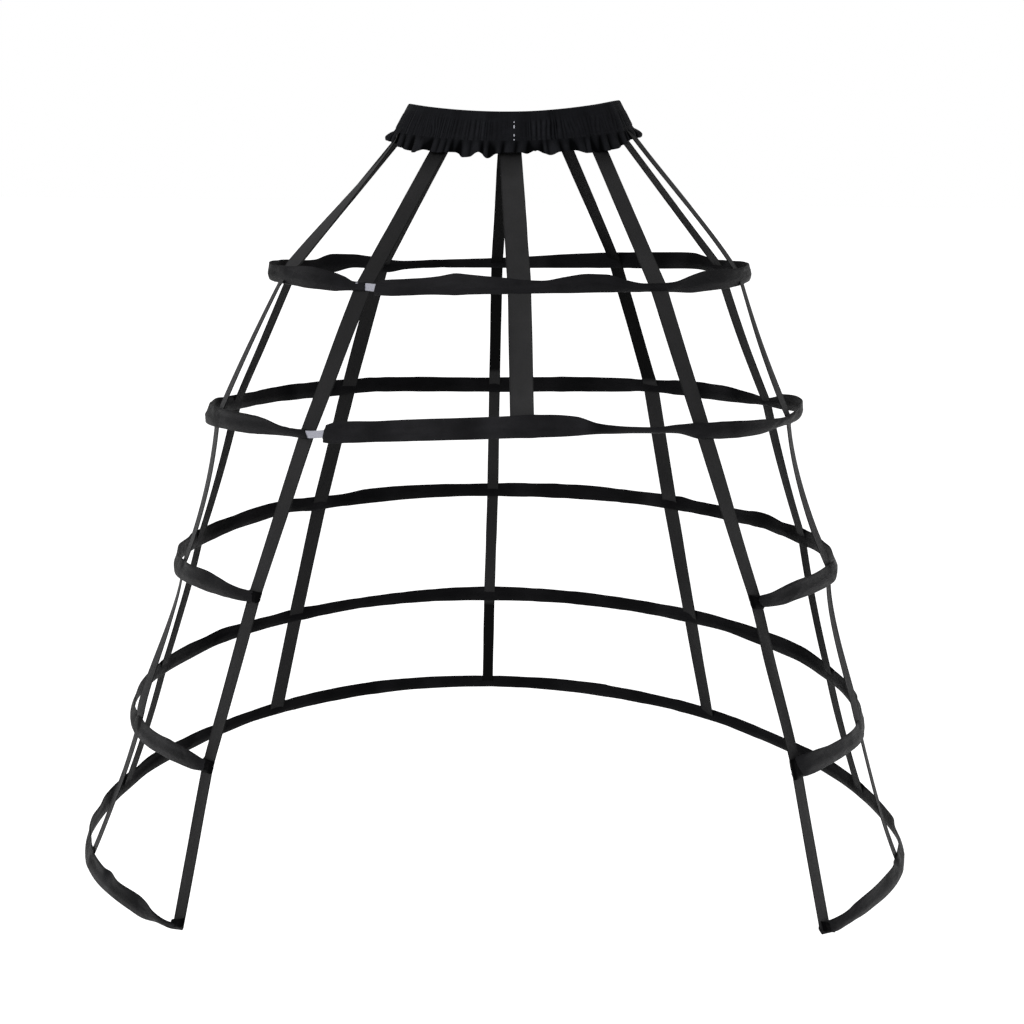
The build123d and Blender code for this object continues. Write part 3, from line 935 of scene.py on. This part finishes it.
def frill_rows(turn, x, run, total):
    """The ruffle's rows from the seam to its hem and back up, as the band's are given."""
    knob_height, knob_taper = 8.0, 3.0
    lobe_pitch, lobe_depth = 13, 3.2
    usual_flare, flare_spread, least_flare, most_flare = np.radians([17, 8, 8, 32])
    flute = fold_phase(run, ruffle_pitch, total)
    sweep = wander(run, 25, 1.3, total)
    lobe = fold_phase(run, lobe_pitch, total)
    at_front = smooth_step(np.cos(turn) * 6 + 0.5)
    behind = ruffle_length - lobe_depth * np.abs(np.sin(lobe / 2)) + wander(run, 20, 0.8, total)
    side = np.sin(turn) ** 8
    behind = behind * (1 - side) + ruffle_side_length * side
    hem = eased(hem_front, x)[:, 0] * at_front + behind * (1 - at_front)
    tip = np.sin(turn) ** 16
    flare = usual_flare + flare_spread * wander(run, 11, 1, total)
    flare = np.tan(np.clip(flare, least_flare, most_flare))
    shares = np.linspace(0, 1, 13)[1:]
    rows = []
    for share, inset in [(s, 0) for s in shares] + [(s, ruffle_cloth) for s in shares[::-1]]:
        ripple = (0.5 + 2.3 * share) * (np.abs(np.sin((flute + sweep * share) / 2)) - 0.5)
        knob = knob_height * np.sin(pi / 2 * min(1.25 * share, 1.0)) ** 0.8
        knob -= knob_taper * max(share - 0.6, 0)
        out = flare * hem * share ** 1.3 * (1 - tip) + knob * tip + ripple - inset
        rows.append((band_height, out, hem * share, ruffle_tone))
    return rows


def build_waistband():
    """The gathered band and its ruffle in one skin, with painted highlights on the crests of its folds."""
    plain_tone, crest_highlight_tone, crest_height = 0.9, 0.65, 0.7
    level = np.full(61, 1 / 61)
    turn = round_angles(1440)
    x, run, total = seam_run(turn)
    outer, inner = band_rows(run, total)
    frill = frill_rows(turn, x, run, total)
    rings, tones = [], []
    for down, out, drop, tone in outer + frill + inner:
        px, py = oval_points(turn, band_slope * (band_height - down) - out)
        rings.append(np.column_stack([px + waist_shift, py, waist_lift(x) - down - drop]))
        crest = np.clip((out - smoothed(out, level, "wrap")) / crest_height, -1, 1)
        tones.append((plain_tone + crest_highlight_tone * crest) * tone)
    rings = np.array(rings).transpose(1, 0, 2)
    piece = skin("waistband_gathers", rings, band_fabric, closed=True, length=run, tone=np.array(tones).T)
    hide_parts("waistband")


def build_stitches():
    """Pale hand stitches down the middle of the band's front."""
    thread_radius, proud = 0.5, 0.9
    around = round_angles(10)
    share = np.linspace(-1, 1, 9)
    swell = thread_radius * np.sqrt(np.clip(1 - share ** 4, 0.05, 1))
    section = np.column_stack([np.cos(around), np.sin(around), np.zeros_like(around)])
    _, front = oval_points(np.array([0.0]), 0)
    for number, (start, end) in enumerate(centre_stitches):
        down = (start + end) / 2 + share * (end - start) / 2
        face = front + band_slope * (band_height - down) - proud
        spine = np.column_stack([np.full_like(down, centre_stitch_x), face, waist_lift(0.0) - down])
        rings = spine[:, None] + swell[:, None, None] * section
        piece = skin(f"waistband_stitch_{number + 1}", rings, thread)
        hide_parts("waistband")


def build_elastic():
    """The wide elastic inside the waistband, with rounded edges."""
    turn = round_angles(360)
    x, run, _ = seam_run(turn)
    edge_gap, row_spacing = 1.6, 3
    corner = [(0.25, 0), (0.7, 0.3), (1, 0.8)]
    depths = [(elastic_thickness * (1 - share) / 2, edge_gap + down) for share, down in corner]
    outside = depths + [(0, down) for down in np.arange(4, band_height - 4, row_spacing)]
    outside += [(depth, band_height - down) for depth, down in depths[::-1]]
    inside_face = [(elastic_thickness - depth, down) for depth, down in outside[::-1]]
    rings = []
    for depth, down in outside + inside_face:
        px, py = oval_points(turn, band_slope * (band_height - down) + elastic_inset + depth)
        rings.append(np.column_stack([px + waist_shift, py, waist_lift(x) - down]))
    rings = np.array(rings).transpose(1, 0, 2)
    piece = skin("waist_elastic_band", rings, elastic_weave, closed=True, length=run)
    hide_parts("waist_elastic")


forms = [casing_form(hoop) for hoop in hoops]
for number, (hoop, form) in enumerate(zip(hoops, forms)):
    build_bone(number, hoop, form)
    build_casing(number, hoop, form)
    if hoop.joint:
        build_sleeve(number, hoop, form)
for name, tape in tapes.items():
    build_tape(name, tape)
for wrap in wraps:
    build_wrap(*wrap)
build_waistband()
build_stitches()
build_elastic()


# Floor, light and camera

def whitened(material):
    """Shows a material as white to the camera and in reflections, and lets a shadow darken it a little."""
    tree = material.node_tree
    shader = tree.nodes["Principled BSDF"]
    shader.inputs["Base Color"].default_value = (0.8, 0.8, 0.8, 1)
    shader.inputs["Roughness"].default_value = 0.9
    path = add_node(tree, "LightPath")
    seen = maths(tree, "MAXIMUM", path.outputs["Is Camera Ray"],
                 maths(tree, "MAXIMUM", path.outputs["Is Glossy Ray"], path.outputs["Is Transmission Ray"]))
    glow = add_node(tree, "Emission", {"Color": (1, 1, 1, 1), "Strength": 0.8})
    both = add_node(tree, "AddShader", {0: shader.outputs[0], 1: glow.outputs[0]})
    mix = add_node(tree, "MixShader", {"Fac": seen, 1: shader.outputs[0], 2: both.outputs[0]})
    tree.links.new(mix.outputs[0], tree.nodes["Material Output"].inputs["Surface"])


def build_stage():
    floor_level = -1.35
    reach = 30.0
    mesh = bpy.data.meshes.new("floor")
    corners = [(-reach, -reach, floor_level), (reach, -reach, floor_level),
               (reach, reach, floor_level), (-reach, reach, floor_level)]
    mesh.from_pydata(corners, [], [(0, 1, 2, 3)])
    material = new_material("floor_white")[0]
    whitened(material)
    mesh.materials.append(material)
    add_object("floor", mesh)


def build_world():
    """White all round, at half strength where the camera does not see it."""
    world = bpy.data.worlds.new("studio")
    bpy.context.scene.world = world
    world.use_nodes = True
    tree = world.node_tree
    background = tree.nodes["Background"]
    path = add_node(tree, "LightPath")
    seen = maths(tree, "MAXIMUM", path.outputs["Is Camera Ray"], path.outputs["Is Transmission Ray"])
    tree.links.new(maths(tree, "MULTIPLY_ADD", seen, 0.5, 0.5), background.inputs["Strength"])
    background.inputs["Color"].default_value = (1, 1, 1, 1)


def add_lamp(name, place, size, power):
    """A square lamp in metres and watts, aimed at the middle of the cage."""
    aim = Vector((0, 0, -0.4))
    lamp = bpy.data.lights.new(name, "AREA")
    lamp.size = size
    lamp.energy = power
    holder = add_object(name, lamp)
    holder.location = place
    holder.rotation_euler = (aim - Vector(place)).to_track_quat("-Z", "Y").to_euler()


def build_camera():
    """The camera, with the place, turn and lens that were fitted to the photograph."""
    distance, azimuth, height = 2005.5 * MM, radians(1.596), -8.3 * MM
    sideways = 2.5 * MM
    focal_pixels, image_pixels, sensor_width = 2053.2, 1024, 36.0
    yaw, pitch, roll = radians(1.898), radians(10.93), radians(0.771)
    view = Vector((sin(yaw) * cos(pitch), cos(yaw) * cos(pitch), -sin(pitch)))
    level = Vector((cos(yaw), -sin(yaw), 0))
    upright = level.cross(view)
    right = level * cos(roll) + upright * sin(roll)
    up = upright * cos(roll) - level * sin(roll)
    data = bpy.data.cameras.new("camera")
    data.sensor_width = sensor_width
    data.lens = focal_pixels * sensor_width / image_pixels
    camera = add_object("camera", data)
    turn = Matrix((right, up, -view)).transposed().to_4x4()
    place = Vector((-distance * sin(azimuth) - sideways, -distance * cos(azimuth), height))
    camera.matrix_world = Matrix.Translation(place) @ turn
    bpy.context.scene.camera = camera


build_stage()
build_world()
build_camera()
add_lamp("key", (-2.0, -2.5, 1.6), 2.4, 70)
add_lamp("fill", (2.2, -2.4, 0.6), 2.0, 11)
bpy.context.scene.view_settings.view_transform = "Standard"
